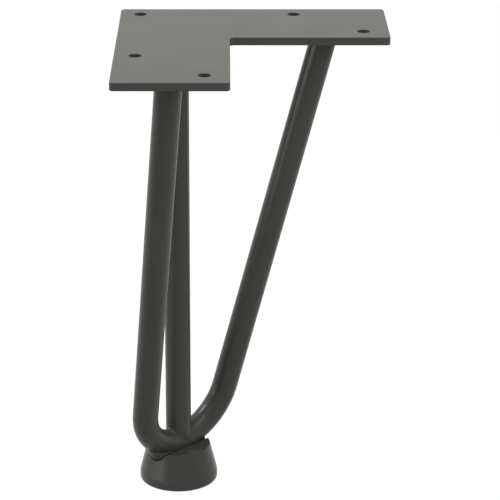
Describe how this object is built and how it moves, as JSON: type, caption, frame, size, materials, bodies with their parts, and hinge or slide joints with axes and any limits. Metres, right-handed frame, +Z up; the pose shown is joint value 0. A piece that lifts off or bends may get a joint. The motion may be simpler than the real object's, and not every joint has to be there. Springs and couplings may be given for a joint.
{
  "type": "hairpin table leg",
  "caption": "Hairpin furniture leg: L-shaped screw-on plate, bent round rod leaning out to the corner, upright corner rod and a grooved conical foot that holds up a table corner.",
  "frame": {"origin": "on the mounting plate's top face, above the shared axis of the corner rod and the foot", "axes": "+Z up, out of the mounting face towards the table top; +X and -Y along the plate's two outer edges, away from its outer corner"},
  "size_m": [0.1, 0.1, 0.187],
  "materials": {
    "leg_coating": "satin anthracite powder coat",
    "foot_coating": "satin anthracite powder coat"
  },
  "bodies": {
    "root": {"mounting_plate": "leg_coating", "hairpin_rod": "leg_coating", "corner_rod": "leg_coating", "foot": "foot_coating", "plate_welds": "leg_coating", "bend_weld": "leg_coating", "foot_welds": "leg_coating"}
  },
  "joints": []
}
